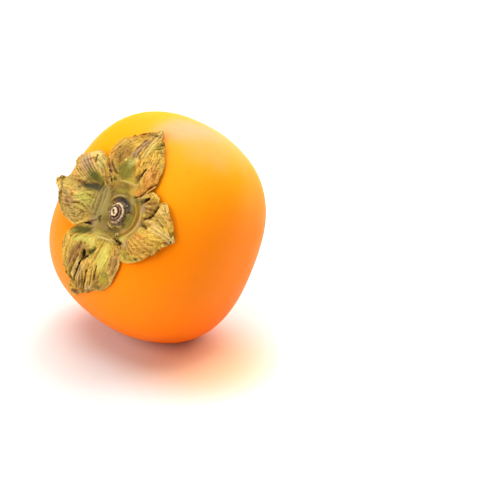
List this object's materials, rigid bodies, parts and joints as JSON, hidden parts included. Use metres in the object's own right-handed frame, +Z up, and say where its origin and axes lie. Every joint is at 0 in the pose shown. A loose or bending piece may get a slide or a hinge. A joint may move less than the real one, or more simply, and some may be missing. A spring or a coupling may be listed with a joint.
{
  "type": "persimmon",
  "caption": "Whole ripe squat persimmon with a dry leafy calyx and a broken stem stub, lying tilted on a small flat spot of its shoulder, calyx forward and up.",
  "frame": {"origin": "centre of the small flat spot that the fruit lies on", "axes": "+Z up as the fruit lies; the stem's axis lies in the YZ plane and points towards -Y and about 32 degrees up; +X is to the right as one faces the calyx"},
  "size_m": [0.0694, 0.0696, 0.0727],
  "materials": {
    "fruit_skin": null,
    "calyx_green": null,
    "sepal_dry": null,
    "stem_bark": "rough grey-brown bark and broken fibres",
    "blossom_black": "dry, near black, matt"
  },
  "bodies": {
    "root": {"fruit_body": "fruit_skin", "calyx_disc": "calyx_green", "sepal_top": "sepal_dry", "sepal_right": "sepal_dry", "sepal_bottom": "sepal_dry", "sepal_left": "sepal_dry", "stem_stub": "stem_bark", "blossom_tip": "blossom_black"}
  },
  "joints": []
}
